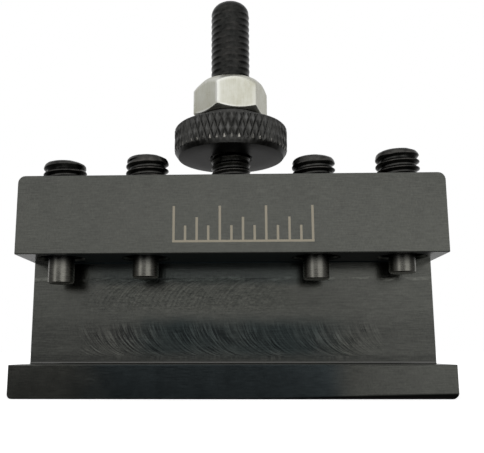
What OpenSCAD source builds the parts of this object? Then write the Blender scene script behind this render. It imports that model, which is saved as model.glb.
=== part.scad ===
// Turning and facing tool holder of a quick-change tool post, with its clamp screws and height stop.
// Millimetres. X runs along the tool slot, the slot opens towards -Y, Z is up along the stud.

/* [Body] */
// length along the tool slot
body_l = 56; // [48:0.5:70]
// depth from the slot face to the clamping face
body_d = 24; // [22:0.5:30]
// height of the block
body_h = 28.8; // [24:0.1:36]
// chamfer on the four corners seen from the slot side
corner_chamfer = 0.6; // [0.2:0.1:2]
// small break on the long front edges
edge_break = 0.1; // [0.1:0.1:1]

/* [Tool slot] */
// thickness of the lip that the tool lies on
lip_h = 4.2; // [3:0.1:6]
// clear height of the slot
slot_h = 14.1; // [8:0.1:18]
// depth of the slot
slot_d = 8.6; // [6:0.1:12]
// radius left by the cutter between slot floor and back wall
slot_fillet = 0.2; // [0.1:0.1:2]

/* [Dovetail] */
// width of the dovetail channel at its mouth
dovetail_mouth_w = 28; // [20:0.5:36]
// depth of the dovetail channel
dovetail_depth = 6; // [4:0.5:8]
// angle between the channel's floor and its flanks
dovetail_angle = 60; // [50:1:70]
// flat on the two acute edges at the mouth
dovetail_edge_flat = 0.4; // [0.2:0.1:1]

/* [Clamp screws] */
// crest diameter of the M6 screws
screw_d = 5.9; // [4.8:0.1:7.8]
// overall length of a screw
screw_l = 16.7; // [10:0.1:25]
// diameter of the dog point
dog_d = 3.5; // [2.5:0.1:5]
// length of the dog point
dog_l = 4.2; // [2:0.1:6]
// hexagon socket across flats
socket_af = 3; // [2:0.5:4]
// depth of the hexagon socket
socket_depth = 3.5; // [2:0.5:5]
// distance of the screw row behind the slot face
screw_row = 4.5; // [3.5:0.1:6]
// distance of the inner pair from the middle
screw_x_inner = 11.5; // [9:0.1:14]
// distance of the outer pair from the middle
screw_x_outer = 23; // [18:0.1:25]
// height of each dog's tip above the base, left to right
tip_z = [14.9, 15.6, 15.3, 16.1];

/* [Height stop] */
// crest diameter of the height stud
stud_d = 5.9; // [4.8:0.1:7.8]
// how far the stud stands above the base
stud_top = 59.6; // [50:0.1:70]
// radius that rounds the stud's upper end
stud_round = 1.95; // [0.5:0.05:2.2]
// how deep the stud sits in the block
stud_engage = 9.2; // [6:0.1:12]
// diameter of the knurled flange
wheel_d = 17; // [14:0.1:24]
// thickness of the knurled flange
wheel_h = 4.5; // [3:0.1:8]
// width of the bevel below the knurl
wheel_bevel_w = 0.6; // [0.2:0.1:1.5]
// height of the bevel below the knurl
wheel_bevel_h = 0.9; // [0.2:0.1:1.5]
// height of the flange's underside above the base
wheel_z = 34.5; // [29:0.1:50]
// diameter of the boss under the lock nut
boss_d = 10; // [8:0.1:12]
// height of the boss
boss_h = 1.8; // [0.5:0.1:4]
// lock nut across flats
nut_af = 10; // [8:0.5:13]
// lock nut height
nut_h = 5.3; // [4:0.1:8]
// radial clearance of every running thread, crest to bore
thread_play = 0.05; // [0.01:0.01:0.1]

/* [Hidden] */
$fn = 96;
front_y = -body_d / 2;
back_y = body_d / 2;
slot_back_y = front_y + slot_d;
slot_top = lip_h + slot_h;
bore_d = screw_d + 2 * thread_play;
stud_bore_d = stud_d + 2 * thread_play;
stud_y = 0;
row_y = front_y + screw_row;
screw_x = [-screw_x_outer, -screw_x_inner, screw_x_inner, screw_x_outer];
dovetail_y = back_y - dovetail_depth;
dovetail_run = dovetail_depth / tan(dovetail_angle);
mouth_half = dovetail_mouth_w / 2;
boss_top = wheel_z + wheel_h + boss_h;
black = [0.16, 0.16, 0.17];
dark = [0.10, 0.10, 0.11];
steel = [0.78, 0.77, 0.73];

// Outline of the block seen from the slot side, corners cut, drawn in X and Z.
module block_front() {
    h = body_l / 2;
    c = corner_chamfer;
    polygon([[-h + c, 0], [h - c, 0], [h, c], [h, body_h - c],
             [h - c, body_h], [-h + c, body_h], [-h, body_h - c], [-h, c]]);
}

// Section of the block across the slot, drawn in Y and Z.
module block_section() {
    e = edge_break;
    polygon([[front_y + e, 0], [back_y - e, 0], [back_y, e], [back_y, body_h - e],
             [back_y - e, body_h], [front_y + e, body_h], [front_y, body_h - e],
             [front_y, slot_top + e], [front_y + e, slot_top], [slot_back_y, slot_top],
             [slot_back_y, lip_h], [front_y + e, lip_h], [front_y, lip_h - e],
             [front_y, e]]);
}

// The quarter-round left in the slot's lower inside corner, drawn in Y and Z.
module slot_corner() {
    difference() {
        translate([slot_back_y - slot_fillet, lip_h - 0.01])
            square([slot_fillet + 0.01, slot_fillet + 0.01]);
        translate([slot_back_y - slot_fillet, lip_h + slot_fillet])
            circle(r = slot_fillet);
    }
}

// The dovetail channel seen from above, with flats on its two acute edges.
module dovetail_plan() {
    f = dovetail_edge_flat;
    m = mouth_half + f / tan(dovetail_angle);
    polygon([[-m, back_y + 1], [-m, back_y - f], [-mouth_half - dovetail_run, dovetail_y],
             [mouth_half + dovetail_run, dovetail_y], [m, back_y - f], [m, back_y + 1]]);
}

module along_x(length) {
    rotate([90, 0, 90]) translate([0, 0, -length / 2]) linear_extrude(length) children();
}

// One steel block: slot milled in front, dovetail behind, four tapped holes and one blind hole.
module holder_body() {
    color(black)
    difference() {
        union() {
            intersection() {
                rotate([90, 0, 0]) translate([0, 0, -body_d / 2])
                    linear_extrude(body_d) block_front();
                along_x(body_l) block_section();
            }
            along_x(body_l) slot_corner();
        }
        translate([0, 0, -1]) linear_extrude(body_h + 2) dovetail_plan();
        for (x = screw_x) translate([x, row_y, 0]) {
            translate([0, 0, slot_top - 1]) cylinder(d = bore_d, h = body_h);
            translate([0, 0, body_h - 0.4])
                cylinder(d1 = bore_d, d2 = bore_d + 1.2, h = 0.6);
        }
        translate([0, stud_y, body_h - stud_engage - 0.3]) cylinder(d = stud_d, h = body_h);
    }
}

// Profile of a screw turned about its axis: dog point, short cone, threaded part at crest size.
module screw_profile() {
    polygon([[0, 0], [dog_d / 2 - 0.2, 0], [dog_d / 2, 0.2], [dog_d / 2, dog_l],
             [screw_d / 2, dog_l + 0.7], [screw_d / 2, screw_l - 0.4],
             [screw_d / 2 - 0.4, screw_l], [0, screw_l]]);
}

module clamp_screw(i) {
    color(dark)
    translate([screw_x[i], row_y, tip_z[i]])
    difference() {
        rotate_extrude() screw_profile();
        translate([0, 0, screw_l - socket_depth])
            linear_extrude(socket_depth + 1) circle(d = socket_af / cos(30), $fn = 6);
    }
}

module clamp_screw_1() { clamp_screw(0); }
module clamp_screw_2() { clamp_screw(1); }
module clamp_screw_3() { clamp_screw(2); }
module clamp_screw_4() { clamp_screw(3); }

// The fixed stud, threaded over its whole length, rounded at the top and screwed into the block.
module height_stud() {
    r = stud_d / 2;
    low = body_h - stud_engage;
    round_z = stud_top - stud_round;
    color(dark)
    translate([0, stud_y, 0]) rotate_extrude()
        union() {
            polygon([[0, low], [r - 0.5, low], [r, low + 0.5], [r, round_z],
                     [r - stud_round, stud_top], [0, stud_top]]);
            intersection() {
                translate([r - stud_round, round_z]) circle(r = stud_round);
                translate([0, round_z - 0.5]) square([r, stud_round + 0.5]);
            }
        }
}

// The knurled flange with a plain boss on top, threaded through.
module height_nut() {
    r = wheel_d / 2;
    b = stud_bore_d / 2;
    w = wheel_bevel_w;
    h = wheel_bevel_h;
    t = 0.3;
    color(dark)
    translate([0, stud_y, 0]) rotate_extrude()
        polygon([[b, wheel_z], [r - w, wheel_z], [r, wheel_z + h],
                 [r, wheel_z + wheel_h - t], [r - t, wheel_z + wheel_h],
                 [boss_d / 2, wheel_z + wheel_h], [boss_d / 2, boss_top], [b, boss_top]]);
}

// Plain hexagon nut, its corners turned away above and below.
module lock_nut() {
    b = stud_bore_d / 2;
    corner = nut_af / 2 / cos(30);
    out = corner + 0.5;
    top_r = nut_af / 2 - 0.5;
    low_r = nut_af / 2 - 0.15;
    color(steel)
    translate([0, stud_y, boss_top])
    intersection() {
        rotate([0, 0, 11]) linear_extrude(nut_h) circle(r = corner, $fn = 6);
        rotate_extrude()
            polygon([[b, 0], [low_r, 0], [out, (out - low_r) * tan(30)],
                     [out, nut_h - (out - top_r)], [top_r, nut_h], [b, nut_h]]);
    }
}

holder_body();
height_stud();
height_nut();
lock_nut();
clamp_screw_1();
clamp_screw_2();
clamp_screw_3();
clamp_screw_4();
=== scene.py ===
import math
import bmesh
import bpy
import numpy as np
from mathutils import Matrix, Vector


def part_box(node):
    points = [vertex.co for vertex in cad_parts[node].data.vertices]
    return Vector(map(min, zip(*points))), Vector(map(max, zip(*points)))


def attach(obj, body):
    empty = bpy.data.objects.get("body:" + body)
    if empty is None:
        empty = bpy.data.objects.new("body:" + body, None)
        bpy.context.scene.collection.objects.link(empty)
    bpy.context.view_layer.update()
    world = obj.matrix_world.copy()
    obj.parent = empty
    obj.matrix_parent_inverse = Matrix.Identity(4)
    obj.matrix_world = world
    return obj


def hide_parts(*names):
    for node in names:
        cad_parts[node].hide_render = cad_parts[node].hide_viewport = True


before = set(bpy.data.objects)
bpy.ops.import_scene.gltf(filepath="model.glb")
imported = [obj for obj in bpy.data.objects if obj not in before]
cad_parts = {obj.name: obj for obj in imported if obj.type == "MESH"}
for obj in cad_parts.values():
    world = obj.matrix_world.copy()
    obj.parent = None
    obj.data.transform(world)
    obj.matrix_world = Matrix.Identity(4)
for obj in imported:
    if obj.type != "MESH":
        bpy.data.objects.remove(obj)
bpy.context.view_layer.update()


# The block. One piece of tool steel: a slot milled along its front leaves a thick jaw above and
# a thin lip below, and a dovetail runs up its back. Ground all over, then blackened in a hot bath.
block_low, block_high = (np.array(end) * 1000 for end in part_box("holder_body"))
front, back, top = block_low[1], block_high[1], block_high[2]
half_long = block_high[0]
slot_floor, slot_ceiling, slot_wall = 4.2, 18.3, front + 8.6
screw_row, screw_places = front + 4.5, (-23.0, -11.5, 11.5, 23.0)


def prism(name, outline, axis, reach):
    """The outline, given in the two other axes, swept along axis from reach[0] to reach[1]."""
    outline = np.array(outline, float)
    count = len(outline)
    others = [k for k in range(3) if k != axis]
    points = np.zeros((2, count, 3))
    points[:, :, others] = outline
    points[:, :, axis] = np.array(reach)[:, None]
    ring = np.arange(count)
    after = (ring + 1) % count
    walls = np.stack([ring, after, after + count, ring + count], 1).tolist()
    mesh = bpy.data.meshes.new(name)
    mesh.from_pydata((points.reshape(-1, 3) / 1000).tolist(), [],
                     walls + [ring[::-1].tolist(), (ring + count).tolist()])
    piece = bpy.data.objects.new(name, mesh)
    bpy.context.collection.objects.link(piece)
    shell = bmesh.new()
    shell.from_mesh(mesh)
    bmesh.ops.recalc_face_normals(shell, faces=shell.faces)
    shell.to_mesh(mesh)
    shell.free()
    return piece


def machine(work, cutter, how):
    """The work less the cutter's volume, or only what both share; the cutter is used up."""
    step = work.modifiers.new(how, "BOOLEAN")
    step.operation, step.object, step.solver = how, cutter, "EXACT"
    bpy.context.view_layer.update()
    seen = work.evaluated_get(bpy.context.evaluated_depsgraph_get())
    mesh = bpy.data.meshes.new_from_object(seen)
    work.modifiers.clear()
    work.data = mesh
    bpy.data.objects.remove(cutter)


def turned(name, profile, centre, columns=64):
    """A profile of (radius, height) pairs turned once round an upright axis: each point is
    centre + radius * (cos angle, sin angle), at its height."""
    profile = np.array(profile, float)
    angle = np.arange(columns) * 2 * np.pi / columns
    rows = np.stack([centre[0] + np.outer(profile[:, 0], np.cos(angle)),
                     centre[1] + np.outer(profile[:, 0], np.sin(angle)),
                     np.repeat(profile[:, 1:], columns, 1)], 2)
    i, j = np.meshgrid(np.arange(len(profile) - 1), np.arange(columns), indexing="ij")
    k = (j + 1) % columns
    faces = np.stack([i * columns + j, i * columns + k,
                      (i + 1) * columns + k, (i + 1) * columns + j], 2).reshape(-1, 4).tolist()
    last = (len(profile) - 1) * columns
    mesh = bpy.data.meshes.new(name)
    mesh.from_pydata((rows.reshape(-1, 3) / 1000).tolist(), [],
                     faces + [list(range(columns))[::-1], list(range(last, last + columns))])
    piece = bpy.data.objects.new(name, mesh)
    bpy.context.collection.objects.link(piece)
    return piece


def arc(y, z, radius, start, end, steps):
    """Points of a circle's arc round (y, z) from the start angle to the end angle, in degrees."""
    angle = np.radians(np.linspace(start, end, steps))
    return np.stack([y + radius * np.cos(angle), z + radius * np.sin(angle)], 1).tolist()


edge, corner, upper_corner, fillet = 0.1, 0.6, 1.02, 0.2
across = ([[front + edge, 0], [back - edge, 0], [back, edge], [back, top - edge],
           [back - edge, top], [front + edge, top], [front, top - edge],
           [front, slot_ceiling + edge], [front + edge, slot_ceiling], [slot_wall, slot_ceiling]]
          + arc(slot_wall - fillet, slot_floor + fillet, fillet, 0, -90, 9)
          + [[front + edge, slot_floor], [front, slot_floor - edge], [front, edge]])
block = prism("ground_block", across, 0, (-half_long, half_long))
end_view = (arc(half_long - corner, corner, corner, -90, 0, 7)
            + arc(half_long - upper_corner, top - upper_corner, upper_corner, 0, 90, 9)
            + arc(-half_long + upper_corner, top - upper_corner, upper_corner, 90, 180, 9)
            + arc(-half_long + corner, corner, corner, 180, 270, 7))
machine(block, prism("end_cut", end_view, 1, (front - 1, back + 1)), "INTERSECT")
mouth, channel, flat = 14.0, 6.0, 0.4
slope = 1 / math.tan(math.radians(60))
bore, bore_mouth, countersink = 3.0, 3.35, 0.35
machine(block, prism("dovetail_cut", [
    [-mouth - flat * slope, back + 1], [-mouth - flat * slope, back - flat],
    [-mouth - channel * slope, back - channel], [mouth + channel * slope, back - channel],
    [mouth + flat * slope, back - flat], [mouth + flat * slope, back + 1]], 2, (-1, top + 1)),
    "DIFFERENCE")
for screw_x in screw_places:
    machine(block, turned("tapped_hole", [
        (bore_mouth, slot_ceiling - 1), (bore_mouth, slot_ceiling),
        (bore, slot_ceiling + countersink), (bore, top - 0.4), (bore + 0.5, top + 0.1)],
        (screw_x, screw_row)), "DIFFERENCE")
machine(block, turned("stud_hole", [(2.96, top - 9.5), (2.96, top - 0.35), (3.4, top + 0.09)],
                      (0, 0)), "DIFFERENCE")

# The lip's lower front edge is bevelled more and more from the middle to the right end.
lip_cut = 0.7
bevel = prism("uneven_bevel", [[front - 1, -1], [front + 1 + lip_cut, -1], [front + lip_cut, 0],
                               [front, lip_cut], [front - 1, 1 + lip_cut]], 0, (-1, half_long + 1))
spots = np.zeros(len(bevel.data.vertices) * 3)
bevel.data.vertices.foreach_get("co", spots)
spots = spots.reshape(-1, 3)
spots[:, 1] -= np.where(spots[:, 0] < 0, lip_cut / 1000, 0)
bevel.data.vertices.foreach_set("co", spots.reshape(-1))
machine(block, bevel, "DIFFERENCE")
for face in block.data.polygons:
    face.use_smooth = True
soft_edge = block.modifiers.new("soft edge", "BEVEL")
soft_edge.width, soft_edge.segments, soft_edge.limit_method = 0.00006, 2, "ANGLE"
soft_edge.angle_limit, soft_edge.harden_normals = math.radians(24), True
soft_edge.use_clamp_overlap = True


class Tone:
    """A socket in a material. Operators on it add Math nodes, and node() adds any other node."""

    def __init__(self, tree, socket=None):
        self.tree, self.socket = tree, socket

    def node(self, kind, settings, inputs, out=0):
        """One node: its settings go first, then each input gets its value or its link."""
        made = self.tree.nodes.new(kind)
        for name, value in settings.items():
            setattr(made, name, value)
        for name, value in inputs.items():
            if isinstance(value, Tone):
                self.tree.links.new(value.socket, made.inputs[name])
            else:
                made.inputs[name].default_value = value
        return Tone(self.tree, made.outputs[out])

    def math(self, how, *values):
        return self.node("ShaderNodeMath", {"operation": how}, dict(enumerate(values)))

    def __add__(self, other): return self.math("ADD", self, other)
    def __radd__(self, other): return self.math("ADD", other, self)
    def __sub__(self, other): return self.math("SUBTRACT", self, other)
    def __rsub__(self, other): return self.math("SUBTRACT", other, self)
    def __mul__(self, other): return self.math("MULTIPLY", self, other)
    def __rmul__(self, other): return self.math("MULTIPLY", other, self)
    def __truediv__(self, other): return self.math("DIVIDE", self, other)
    def __abs__(self): return self.math("ABSOLUTE", self)

    def rise(self, low, high):
        """0 below low, 1 above high, and a smooth step between them."""
        return self.node("ShaderNodeMapRange", {"interpolation_type": "SMOOTHSTEP"},
                         {"Value": self, "From Min": low, "From Max": high})

    def band(self, low, high, soft):
        """1 between low and high, falling to 0 over soft outside them."""
        return self.rise(low - soft, low) * (1 - self.rise(high, high + soft))

    def cloud(self, scale, detail=3.0, rough=0.55, stretch=(1, 1, 1)):
        """Noise of about 0 to 1 on this vector, in lumps of 1 mm over scale, stretched by axis."""
        spread = self.node("ShaderNodeMapping", {}, {"Vector": self, "Scale": stretch})
        return self.node("ShaderNodeTexNoise", {}, {
            "Vector": spread, "Scale": scale * 1000, "Detail": detail, "Roughness": rough})

    def tint(self, low, high, blend="MIX"):
        """The low colour where this is 0, and where it is 1 the high colour or their product."""
        return self.node("ShaderNodeMix", {"data_type": "RGBA", "blend_type": blend},
                         {0: self, 6: low, 7: high}, 2)


def metal(name):
    """A new metal finish: the material, its shader, its object coordinates, and them in mm."""
    finish = bpy.data.materials.new(name)
    finish.use_nodes = True
    shader = finish.node_tree.nodes["Principled BSDF"]
    shader.inputs["Metallic"].default_value = 1.0
    place = Tone(finish.node_tree).node("ShaderNodeTexCoord", {}, {}, "Object")
    x, y, z = (place.node("ShaderNodeSeparateXYZ", {}, {0: place}, k) * 1000 for k in range(3))
    return finish, shader, place, x, y, z


def feed(shader, name, value):
    """Links a value or colour to the shader's socket of that name."""
    value.tree.links.new(value.socket, shader.inputs[name])


def relief(shader, height, depth):
    """Raises the surface by height, which runs from 0 to 1, over depth in mm."""
    feed(shader, "Normal", height.node("ShaderNodeBump", {}, {
        "Height": height, "Distance": depth / 1000, "Strength": 1.0}))


oxide, shader, place, x, y, z = metal("blackened_block")
on_front = 1 - y.rise(front + 0.05, front + 0.3)
on_jaw = on_front * z.rise(slot_ceiling, slot_ceiling + 0.3)
on_lip = on_front * (1 - z.rise(slot_floor, slot_floor + 0.2))
on_wall = (y.band(slot_wall - 1.1, slot_wall + 0.05, 0.05)
           * z.band(slot_floor, slot_ceiling - 0.05, 0.05))
in_slot = y.band(front + 0.3, slot_wall, 0.1)

# The grinder's grain runs along the block, and the oxide is cloudy over it.
grain = place.cloud(1.0, 4.0, 0.6, (0.60, 9.0, 9.0))
streaks = place.cloud(1.0, 2.0, 0.5, (0.12, 3.5, 3.5))
blotches = place.cloud(0.35, 3.0, 0.6)
stain = place.cloud(0.12, 2.0, 0.5)
weave = place.cloud(1.0, 2.0, 0.6, (5.0, 2.4, 2.4))

# The cutter left arcs on the slot's back wall as it travelled along x. All along one arc,
# x + sqrt(cutter^2 - (z - cutter_z)^2) is the same, so the noise hardly changes.
cutter, cutter_z = 5.45, 10.6
sweep = cutter * cutter - (z - cutter_z) * (z - cutter_z)
sweep = sweep.math("MAXIMUM", sweep, 0.0)
path = x + sweep.math("SQRT", sweep)
along = path.node("ShaderNodeCombineXYZ", {}, {0: path * 0.0030, 1: z * 0.0003, 2: 0.0})
marks = along.cloud(1.0, 4.0, 0.6).rise(0.36, 0.64)
coarse = place.cloud(0.30, 2.0, 0.5).rise(0.38, 0.60)
swirl_room = z.band(6.0, 8.4, 1.9) * x.band(-18, 17, 5)
swirls = (marks - 0.5) * (0.35 + coarse * 0.9) * swirl_room * on_wall

# Above the arcs the steel tore a little, up to the ragged step that an earlier pass left.
torn_room = z.band(12.6, 15.6, 2.4) * x.band(-15, 2, 10) * on_wall
torn = (place.cloud(2.1, 3.0, 0.6).rise(0.30, 0.70) * 0.5 + marks * 0.5 - 0.5) * torn_room
step_at = z + (place.cloud(0.16, 3.0, 0.6) - 0.5) * 1.6
step_line = step_at.band(15.8, 15.95, 0.25) * on_wall * place.cloud(0.6, 3.0).rise(0.35, 0.6)

# The rule etched on the jaw: 13 ticks, every fourth one long, with a middling one halfway between.
rule_start, rule_end, rule_foot, tick_gap = -7.3, 10.7, 20.0, 1.5
tick = (x - rule_start) / tick_gap
nearest = tick.math("ROUND", tick)
off_tick = abs(tick - nearest) * tick_gap
every = nearest.math("MODULO", nearest, 4.0)
tall = 1.9 + (1 - every.rise(0.0, 0.5)) * 2.6 + every.band(1.9, 2.1, 0.3) * 1.1
ticks = (1 - off_tick.rise(0.12, 0.18)) * x.band(rule_start - 0.2, rule_end + 0.2, 0.02)
ticks = (ticks * z.rise(rule_foot - 0.05, rule_foot)
         * (1 - (z - rule_foot - tall).rise(0.0, 0.05)))
rule = (z.band(rule_foot - 0.25, rule_foot, 0.04)
        * x.band(rule_start - 0.15, rule_end + 0.15, 0.04))
etched = ticks.math("MAXIMUM", ticks, rule) * on_jaw

# How light the oxide is: the jaw lighter towards its right end and lower edge, the wall darker
# towards its left end. Then a darker, bluer patch on the wall; painted shade and shadow on the
# wall, the lip, its bevel and under the jaw; a painted highlight along the slot's floor; the rule.
shade = 0.82 + (grain - 0.5) * 0.50 + (blotches - 0.5) * 0.14 + (weave - 0.5) * 0.24
shade = shade + on_jaw * (x.rise(-25, 0) * 0.045 + (23.5 - z) * 0.006)
shade = shade + swirls * 0.52 + torn * 0.24 + step_line * 0.30 - torn_room * 0.04
shade = shade - (1 - x.rise(-22, -6)) * on_wall * 0.04
# Painted shade: the slot wall darkens towards its foot, and more again in its lowest 0.8 mm by the
# lip.
shade = shade - z.band(slot_floor, 8.6, 3.0) * on_wall * 0.10
shade = shade - z.band(slot_floor, 5.0, 0.7) * on_wall * 0.10
ink = shade.rise(0.35, 1.35).tint((0.036, 0.037, 0.035, 1), (0.165, 0.168, 0.150, 1))
ragged = (place.cloud(0.28, 3.0, 0.6) - 0.5) * 6
# The wall turns darker and bluer in a ragged patch low in its middle, and over its top 2.5 mm under
# the jaw, where this is painted shadow.
blue_patch_and_shadow = ((x + ragged).band(-9, 10, 8) * (z - ragged * 0.25).band(6.4, 9.0, 2.4)
        * (0.5 + stain * 0.9))
blue_patch_and_shadow = blue_patch_and_shadow + ((x + ragged).band(-16, 8, 8)
               * (z + ragged * 0.2).band(15.8, slot_ceiling, 1.2) * 0.62)
ink = (blue_patch_and_shadow * on_wall).tint(ink, (0.41, 0.50, 0.545, 1), "MULTIPLY")
# Painted shade: the lip's front is darker and bluer from 14-22 mm left of the middle to 12-15 mm
# right of it; both ends are left lighter.
lip_painted_shade = (x + ragged).rise(-22, -14) * (1 - x.rise(11.5, 15.5)) * on_lip
ink = lip_painted_shade.tint(ink, (0.60, 0.72, 0.84, 1), "MULTIPLY")
# Painted shade: a strip along the lip's lower front edge, over the bevel, is drawn almost black; it
# is about 0.1 mm high on the left and grows to about 0.7 mm at the right end.
cut_high = 0.12 + x.rise(-2, 30) * 0.62
bevel_painted_shade = ((1 - (z - cut_high).rise(-0.08, 0.12))
        * (1 - y.rise(front + lip_cut, front + lip_cut + 0.2)))
ink = (bevel_painted_shade * 0.85).tint(ink, (0.10, 0.10, 0.10, 1), "MULTIPLY")
# Painted shade under the jaw: inside the slot, its underside and the top edge of the wall are
# darkened, more towards the right end, and made rougher.
underside_painted_shade = z.band(slot_ceiling - 0.1, slot_ceiling + 0.05, 0.1) * x.band(-23.5, 25, 1.5) * in_slot
ink = underside_painted_shade.tint(ink, x.rise(0, 14).tint((0.24, 0.33, 0.40, 1), (0.10, 0.14, 0.17, 1)), "MULTIPLY")
# Painted highlight: the slot's floor and the fillet at the wall's foot are drawn in an even,
# lighter grey.
slot_floor_highlight = z.band(slot_floor - 0.1, slot_floor + 0.2, 0.1) * in_slot
ink = slot_floor_highlight.tint(ink, (0.11, 0.11, 0.105, 1))
ink = (etched * 0.9).tint(ink, (0.42, 0.38, 0.30, 1))
feed(shader, "Base Color", ink)
feed(shader, "Roughness", 0.21 + (blotches - 0.5) * 0.08 + (grain - 0.5) * 0.08 + etched * 0.3
     + underside_painted_shade * 0.35)
ground = (grain * 0.45 + streaks * 0.3) * (1 - (on_lip + on_wall) * 0.5)
relief(shader, ground + swirls * 0.9 + torn * 1.2 + step_line * 0.8, 0.012)

block.data.materials.clear()
block.data.materials.append(oxide)
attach(block, "holder")
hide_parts("holder_body")


# The clamp screws. Four M6 socket set screws with dog points, cut from alloy steel and blackened,
# each turned down through the jaw with a hexagon key. They were left at different heights.
outer, pitch = 2.95, 1.0
dog_radius, dog_long, cone_long = 1.75, 4.2, 0.7
key_flats, key_deep, key_cone = 3.0, 3.5, 0.6


def skin(name, points, crest, fold=None):
    """Joins a grid of points, whose last column repeats the first, into a closed shell. crest
    goes from 0 in a groove to 1 on a ridge and is kept on the points. fold, where it is given,
    says which way each quad splits."""
    rows, columns = points.shape[:2]
    i, j = np.meshgrid(np.arange(rows - 1), np.arange(columns - 1), indexing="ij")
    a, b = i * columns + j, i * columns + j + 1
    c, d = b + columns, a + columns
    if fold is None:
        faces = np.stack([a, b, c, d], 2).reshape(-1, 4)
    else:
        one = np.where(fold[..., None], np.stack([a, b, d], 2), np.stack([a, b, c], 2))
        two = np.where(fold[..., None], np.stack([b, c, d], 2), np.stack([a, c, d], 2))
        faces = np.concatenate([one.reshape(-1, 3), two.reshape(-1, 3)])
    mesh = bpy.data.meshes.new(name)
    mesh.from_pydata((points.reshape(-1, 3) / 1000).tolist(), [], faces.tolist())
    mesh.attributes.new("crest", "FLOAT", "POINT").data.foreach_set("value", crest.reshape(-1))
    shell = bmesh.new()
    shell.from_mesh(mesh)
    bmesh.ops.remove_doubles(shell, verts=shell.verts, dist=2e-7)
    bmesh.ops.dissolve_degenerate(shell, edges=shell.edges, dist=2e-7)
    bmesh.ops.recalc_face_normals(shell, faces=shell.faces)
    for face in shell.faces:
        face.smooth = True
    shell.to_mesh(mesh)
    shell.free()
    mesh.set_sharp_from_angle(angle=math.radians(32))
    piece = bpy.data.objects.new(name, mesh)
    bpy.context.collection.objects.link(piece)
    return piece


def round_rows(profile, columns):
    """Level rings: the radius and height of each pair, the same all the way round."""
    profile = np.array(profile, float)
    return np.repeat(profile[:, :1], columns, 1), np.repeat(profile[:, 1:], columns, 1)


def thread_rows(low, high, start, root, limit, wear, columns):
    """Rings that climb one pitch in each turn: a ring lies at low + pitch * (turn + share + start
    + angle / 2 pi), held between low and high. Its radius follows the thread's section, whose
    depth is multiplied by wear(height), and never passes limit(height)."""
    shares = np.array([0.10, 0.38, 0.45, 0.55, 0.62, 0.90])
    section = np.array([root, outer - 0.05, outer, outer, outer - 0.05, root])
    turns = np.arange(-2, math.ceil((high - low) / pitch) + 2)
    level = (turns[:, None] + shares).reshape(-1)
    radius = np.tile(section, len(turns))[:, None]
    height = low + pitch * (level[:, None] + start + np.linspace(0, 1, columns))
    outside = (height <= low) | (height >= high)
    height = np.clip(height, low, high)
    radius = outer - (outer - radius) * wear(height)
    return np.where(outside, limit(height), np.minimum(radius, limit(height))), height


def stack(parts, centre, columns, first_angle=0.0):
    """Rings of (radius, height) one after another, round an upright axis at centre: the point is
    centre + radius * (cos angle, sin angle) at that height. Returns the points and the radius."""
    radius = np.concatenate([part[0] for part in parts])
    height = np.concatenate([part[1] for part in parts])
    angle = first_angle + np.linspace(0, 2 * np.pi, columns)
    points = np.stack([centre[0] + radius * np.cos(angle),
                       centre[1] + radius * np.sin(angle), height], 2)
    return points, radius


def hexagon(flats, columns, turn):
    """From the middle of a hexagon to its side: flats / 2 / cos(angle from the nearest flat)."""
    angle = np.linspace(0, 2 * np.pi, columns) - math.radians(turn)
    return flats / 2 / np.cos((angle + np.pi / 6) % (np.pi / 3) - np.pi / 6)


def crest_depth(radius):
    """0 in the groove of a full thread and 1 on its crest."""
    return np.clip((radius - 2.36) / 0.59, 0, 1)


def crest_mark(place):
    """The crest value kept on the piece's points, as a socket."""
    return place.node("ShaderNodeAttribute", {"attribute_name": "crest"}, {}, "Fac")


thread_steel, shader, place, x, y, z = metal("blackened_thread")
crest = crest_mark(place)
speckle = place.cloud(1.4, 4.0, 0.6)
rub = crest.rise(0.80, 1.0) * place.cloud(0.9, 3.0).rise(0.38, 0.72)
ink = speckle.rise(0.25, 0.8).tint((0.036, 0.036, 0.034, 1), (0.072, 0.071, 0.066, 1))
ink = (rub * 0.5).tint(ink, (0.13, 0.12, 0.11, 1))
ink = z.rise(38, 45).tint(ink, (0.47, 0.48, 0.49, 1), "MULTIPLY")
feed(shader, "Base Color", ink)
feed(shader, "Roughness", 0.27 + (speckle - 0.5) * 0.16 - rub * 0.05)
relief(shader, speckle, 0.012)

# Painted reflection: the dog points are drawn several times lighter than the thread above them,
# which is the same blackened steel.
dog_steel_painted_light, shader, place, x, y, z = metal("blackened_dog_point_painted_light")
rings = place.cloud(1.0, 3.0, 0.6, (1.2, 1.2, 9.0))
ink = rings.rise(0.25, 0.8).tint((0.19, 0.186, 0.165, 1), (0.30, 0.295, 0.262, 1))
# Painted shade: the dog point turns nearly black over the 1.5 mm below the jaw's underside.
ink = z.rise(slot_ceiling - 1.5, slot_ceiling).tint(ink, (0.06, 0.06, 0.055, 1))
feed(shader, "Base Color", ink)
feed(shader, "Roughness", 0.27 + (rings - 0.5) * 0.10)
relief(shader, rings, 0.005)

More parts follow.
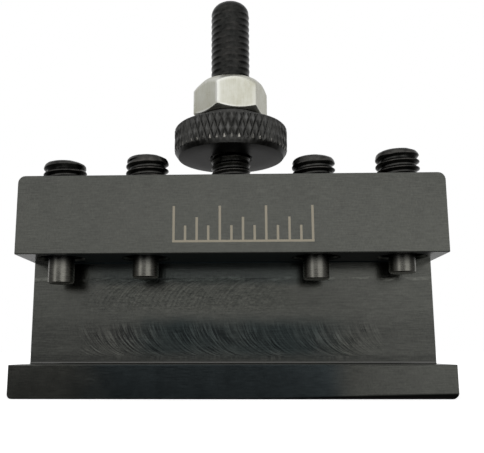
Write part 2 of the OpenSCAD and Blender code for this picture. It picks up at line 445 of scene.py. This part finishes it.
screw_columns = 73
for number, (screw_x, start, key_turn) in enumerate(
        zip(screw_places, (0.75, 0.25, 0.35, 0.58), (35, 10, 50, 20)), 1):
    tip, head = (end[2] * 1000 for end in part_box(f"clamp_screw_{number}"))
    dog_top = tip + dog_long

    def screw_limit(height, dog_top=dog_top, head=head):
        """The cone above the dog point, the full size, and a quarter of an ellipse at the head."""
        cone = dog_radius + np.maximum(height - dog_top, 0) * ((outer - dog_radius) / cone_long)
        climb = np.clip((height - head) / 0.9 + 1, 0, 1)
        return np.minimum(cone, outer - 0.6 + 0.6 * np.sqrt(1 - climb ** 2))

    def screw_wear(height, head=head):
        """The thread's depth, which runs out over the last turn below the head."""
        return np.clip((head - 0.45 - height) / 0.7, 0, 1)

    thread = thread_rows(dog_top, head, start, 2.48, screw_limit, screw_wear, screw_columns)
    key = hexagon(key_flats, screw_columns, key_turn)[None, :]
    key_levels = [[head], [head - 0.12], [head - key_deep], [head - key_deep - key_cone]]
    socket = (np.concatenate([key + 0.12, key, key, np.zeros_like(key)]),
              np.repeat(key_levels, screw_columns, 1))
    dog = round_rows([(0, tip), (dog_radius - 0.30, tip), (dog_radius - 0.13, tip + 0.05),
                      (dog_radius - 0.03, tip + 0.14), (dog_radius, tip + 0.3),
                      (dog_radius, dog_top)], screw_columns)
    points, radius = stack([dog, thread, socket], (screw_x, screw_row), screw_columns)
    screw = skin(f"set_screw_{number}", points, crest_depth(radius))
    screw.data.materials.append(thread_steel)
    screw.data.materials.append(dog_steel_painted_light)
    middles = np.zeros(len(screw.data.polygons) * 3)
    screw.data.polygons.foreach_get("center", middles)
    screw.data.polygons.foreach_set("material_index", (
        middles.reshape(-1, 3)[:, 2] * 1000 < dog_top - 0.05).astype(np.int32))
    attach(screw, f"screw_{number}")
    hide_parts(f"clamp_screw_{number}")


# The height stud. A length of M6 thread with a rounded end, blackened, screwed down into the
# block's top and fixed there. The holder hangs from it by the knurled nut.
stud_low, stud_top = (end[2] * 1000 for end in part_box("height_stud"))
rounding, stud_foot, plain_end = 1.95, 2.45, 1.2


def stud_limit(height):
    """Full size up to the rounded end, then a quarter circle; a chamfer at the lower end."""
    climb = np.clip(height - stud_top + rounding, 0, rounding)
    upper = outer - rounding + np.sqrt(rounding ** 2 - climb ** 2)
    return np.minimum(upper, stud_foot + height - stud_low)


def stud_wear(height):
    """How much of the thread's depth is left: all of it low down, a third above the nuts."""
    return 1 - 0.68 * np.clip((height - 36) / 8, 0, 1)


thread = thread_rows(stud_low, stud_top - plain_end, 0.3, 2.72, stud_limit, stud_wear,
                     screw_columns)
cap_height = stud_top - plain_end * np.cos(np.linspace(0, np.pi / 2, 9))
cap = (np.stack([stud_limit(cap_height), cap_height], 1).tolist()
       + [[0.5, stud_top], [0, stud_top]])
points, radius = stack([round_rows([(0, stud_low), (stud_foot, stud_low)], screw_columns), thread,
                        round_rows(cap, screw_columns)], (0, 0), screw_columns)
stud = skin("stud", points, crest_depth(radius))
stud.data.materials.append(thread_steel)
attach(stud, "holder")
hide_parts("height_stud")


# The height nut. A flange with a rolled diamond knurl and a plain boss on top, turned from steel
# bar, tapped M6 and blackened. Its underside rests on the post and sets how high the tool sits.
flange_low, boss_top = (end[2] * 1000 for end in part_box("height_nut"))
flange_high, flange, boss = flange_low + 4.5, 8.5, 5.0
teeth, lean, knurl_deep, per_tooth = 51, math.radians(19), 0.20, 12
knurl_columns = teeth * per_tooth + 1
tooth = 2 * math.pi * flange / teeth
row_step = tooth / per_tooth / math.tan(lean)
rows = np.arange(math.ceil((flange_high - flange_low - 0.5) / row_step) + 1)
level = np.minimum(flange_low + 0.5 + rows * row_step, flange_high)

# Two sets of grooves lean opposite ways round the rim. A point's height on the knurl is its
# distance to the nearest groove of either set, flattened over the diamonds' tops.
column = np.arange(knurl_columns)
one_way = (column[None, :] + rows[:, None]) / per_tooth % 1
other_way = (column[None, :] - rows[:, None]) / per_tooth % 1
ridge = np.minimum(np.minimum(one_way, 1 - one_way), np.minimum(other_way, 1 - other_way)) * 2
ridge = np.minimum(ridge / 0.62, 1)
bevelled = np.minimum(flange - 0.6 + (level - flange_low) / 1.5,
                      flange - 0.3 + flange_high - level)[:, None]
knurl = (np.minimum(flange - knurl_deep + knurl_deep * ridge, bevelled),
         np.repeat(level[:, None], knurl_columns, 1))
below = round_rows([(bore_mouth, flange_low), (5.2, flange_low), (flange - 0.75, flange_low),
                    (flange - 0.6, flange_low + 0.03)], knurl_columns)
above = round_rows([(flange - 0.5, flange_high), (boss + 0.35, flange_high),
                    (boss + 0.08, flange_high + 0.09), (boss, flange_high + 0.35),
                    (boss, boss_top - 0.25), (boss - 0.25, boss_top), (bore_mouth, boss_top),
                    (bore, boss_top - countersink), (bore, flange_low + countersink),
                    (bore_mouth, flange_low)], knurl_columns)
points, radius = stack([below, knurl, above], (0, 0), knurl_columns)
i, j = np.meshgrid(np.arange(len(points) - 1) - len(below[0]), np.arange(knurl_columns - 1),
                   indexing="ij")
along_groove = (i + j + 1) % per_tooth == 0
plain = 0.2
height_nut = skin("knurled_nut", points, np.concatenate(
    [np.full_like(below[0], plain), ridge, np.full_like(above[0], plain)]), along_groove)

knurl_steel, shader, place, x, y, z = metal("blackened_knurl")
crest = crest_mark(place)
speckle = place.cloud(1.1, 4.0, 0.6)
rub = crest.rise(0.70, 1.0) * place.cloud(0.7, 3.0).rise(0.30, 0.70)
# Burrs along the knurl's lower end, where wear bares the steel, with painted glints: there, patches
# of the diamonds' crests are drawn near-white.
burr_and_glint = z.band(flange_low + 0.75, flange_low + 1.1, 0.12) * place.cloud(0.9, 2.0).rise(0.42, 0.60)
burr_and_glint = crest.rise(0.75, 1.0) * burr_and_glint
ink = speckle.rise(0.25, 0.8).tint((0.042, 0.042, 0.040, 1), (0.088, 0.087, 0.082, 1))
ink = (rub * 0.6).tint(ink, (0.16, 0.16, 0.155, 1))
ink = burr_and_glint.tint(ink, (0.55, 0.53, 0.48, 1))
feed(shader, "Base Color", ink)
feed(shader, "Roughness", 0.36 + (speckle - 0.5) * 0.16)
relief(shader, speckle, 0.012)
height_nut.data.materials.append(knurl_steel)
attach(height_nut, "height_nut")
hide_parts("height_nut")


# The lock nut. A plain bright M6 nut, 10 mm across its flats, its corners turned away at both ends.
# It is tightened down on the boss so that the height can't shift.
nut_low, nut_high = (end[2] * 1000 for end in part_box("lock_nut"))
nut_columns, nut_turn, nut_flats = 145, 41, 10.0
side = np.minimum(hexagon(nut_flats, nut_columns, 0), 5.71)
foot, shoulder, nut_chamfer = 4.85, 4.5, 0.3
side_low = nut_low + (side - foot) * math.tan(math.radians(30))
side_high = nut_high - (side - shoulder)
ease = 0.06
outline = (np.stack([side - ease, side, side, side, side, side - ease, (side + shoulder) / 2]),
           np.stack([side_low - ease * 0.4, side_low + ease, side_low + 0.4, side_high - 0.5,
                     side_high - ease, side_high + ease * 0.8, nut_high - (side - shoulder) / 2]))
under = round_rows([(bore, nut_low + nut_chamfer), (bore + nut_chamfer, nut_low),
                    (foot, nut_low)], nut_columns)
over = round_rows([(shoulder, nut_high), (bore + nut_chamfer, nut_high),
                   (bore, nut_high - nut_chamfer), (bore, nut_low + nut_chamfer)], nut_columns)
points, radius = stack([under, outline, over], (0, 0), nut_columns, math.radians(nut_turn))
# How much painted highlight each row of the nut's sides takes: most on the eased edges at the ends,
# and on the corners.
rim = np.array([[1.0], [0.9], [0.0], [0.0], [0.6], [0.8], [0.2]])
highlight_rows = np.maximum(rim, np.clip((side - 5.5) / 0.2, 0, 1))
lock_nut = skin("lock_nut_bright", points,
                np.concatenate([np.zeros_like(under[0]), highlight_rows, np.zeros_like(over[0])]))

bright, shader, place, x, y, z = metal("bright_steel")
drawn = place.cloud(1.0, 4.0, 0.6, (5.0, 5.0, 0.5))
cloudy = place.cloud(0.4, 3.0, 0.6)
crest = crest_mark(place)
at_middle = x.rise(-3.6, -2.2) * (1 - x.rise(3.4, 4.6))
# The faces beside the middle one turn a little browner and darker towards their lower edge.
low_side_tint = (1 - z.rise(nut_low + 1.0, nut_low + 3.2)) * (1 - at_middle)
# Painted highlight: the nut's eased edges and corners are drawn almost white, less so on its right
# half.
edge_highlight = crest * (1 - x.rise(0.0, 2.0) * 0.6) * cloudy.rise(0.25, 0.5)
ink = (cloudy * 0.6 + drawn * 0.4).rise(0.3, 0.7).tint((0.57, 0.56, 0.46, 1),
                                                      (0.74, 0.74, 0.66, 1))
ink = (low_side_tint * cloudy.rise(0.3, 0.6) * 0.15).tint(ink, (0.42, 0.39, 0.28, 1))
ink = edge_highlight.tint(ink, (0.93, 0.93, 0.88, 1))
feed(shader, "Base Color", ink)
feed(shader, "Roughness", 0.30 + (drawn - 0.5) * 0.14 + (cloudy - 0.5) * 0.1)
relief(shader, drawn, 0.008)
lock_nut.data.materials.append(bright)
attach(lock_nut, "lock_nut")
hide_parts("lock_nut")


# The studio. White paper underneath, a white surround with dark boards standing and lying about in
# it for the steel to mirror, one soft box above and in front, and the camera.
reach = 3.0
floor_mesh = bpy.data.meshes.new("floor")
floor_mesh.from_pydata([(-reach, -reach, 0), (reach, -reach, 0), (reach, reach, 0),
                        (-reach, reach, 0)], [], [(0, 1, 2, 3)])
floor = bpy.data.objects.new("floor", floor_mesh)
bpy.context.collection.objects.link(floor)
paper = bpy.data.materials.new("white_paper")
paper.use_nodes = True
shader = paper.node_tree.nodes["Principled BSDF"]
shader.inputs["Base Color"].default_value = (0.9, 0.9, 0.9, 1)
shader.inputs["Roughness"].default_value = 1.0
shader.inputs["Specular IOR Level"].default_value = 0.0
shader.inputs["Emission Color"].default_value = (1, 1, 1, 1)
shader.inputs["Emission Strength"].default_value = 0.6
floor.data.materials.append(paper)
floor.visible_glossy = False

world = bpy.data.worlds.new("studio")
bpy.context.scene.world = world
world.use_nodes = True
way = Tone(world.node_tree).node("ShaderNodeTexCoord", {}, {}, "Generated")
x, y, z = (way.node("ShaderNodeSeparateXYZ", {}, {0: way}, k) for k in range(3))
ahead = 1 - y.rise(-0.45, -0.10)
low = z.rise(-0.36, -0.22) * (1 - z.rise(-0.01, 0.13))
left = 1 - (x + y * 0.17).rise(-0.03, 0.04)
bench = ahead * low * (0.16 + left * 0.76) * x.rise(-0.62, -0.38)
flank = y.band(-0.50, 0.30, 0.26) * (1 - z.rise(0.20, 0.34)) * 0.80
behind = y.rise(-0.10, 0.45)
under = (1 - z.rise(-0.36, 0.04)) * behind * 0.70
above = ahead * z.rise(0.50, 0.70) * 0.4
glow = (1 - bench) * (1 - under) * (1 - flank) * (1 - above) * (1 - (1 - ahead) * 0.38)
seen = way.node("ShaderNodeLightPath", {}, {}, "Is Camera Ray")
backdrop = world.node_tree.nodes["Background"]
feed(backdrop, "Color", seen.tint(glow.tint((0, 0, 0, 1), (1, 1, 1, 1)), (1, 1, 1, 1)))
backdrop.inputs["Strength"].default_value = 1.0

# The soft box is 340 by 260 mm, and faces a point 20 mm up in the block's middle.
box_in_front, box_above = 0.22, 0.34
lamp = bpy.data.lights.new("top_box", "AREA")
lamp.shape, lamp.size, lamp.size_y, lamp.energy = "RECTANGLE", 0.34, 0.26, 0.12
soft_box = bpy.data.objects.new("top_box", lamp)
bpy.context.collection.objects.link(soft_box)
soft_box.location = (0, -box_in_front, 0.02 + box_above)
soft_box.rotation_euler = (math.atan2(box_in_front, box_above), 0, 0)

lens = bpy.data.cameras.new("camera")
lens.sensor_width, lens.lens = 36.0, 47.603306
lens.shift_x, lens.shift_y = 0.0460744, 0.0270248
lens.clip_start, lens.clip_end = 0.001, 20
camera = bpy.data.objects.new("camera", lens)
bpy.context.collection.objects.link(camera)
camera.location = (0.00126, -0.09326, 0.00587)
camera.rotation_euler = (math.radians(90 + 9.896), math.radians(0.063), math.radians(1.826))
bpy.context.scene.camera = camera
bpy.context.scene.view_settings.view_transform = "Standard"
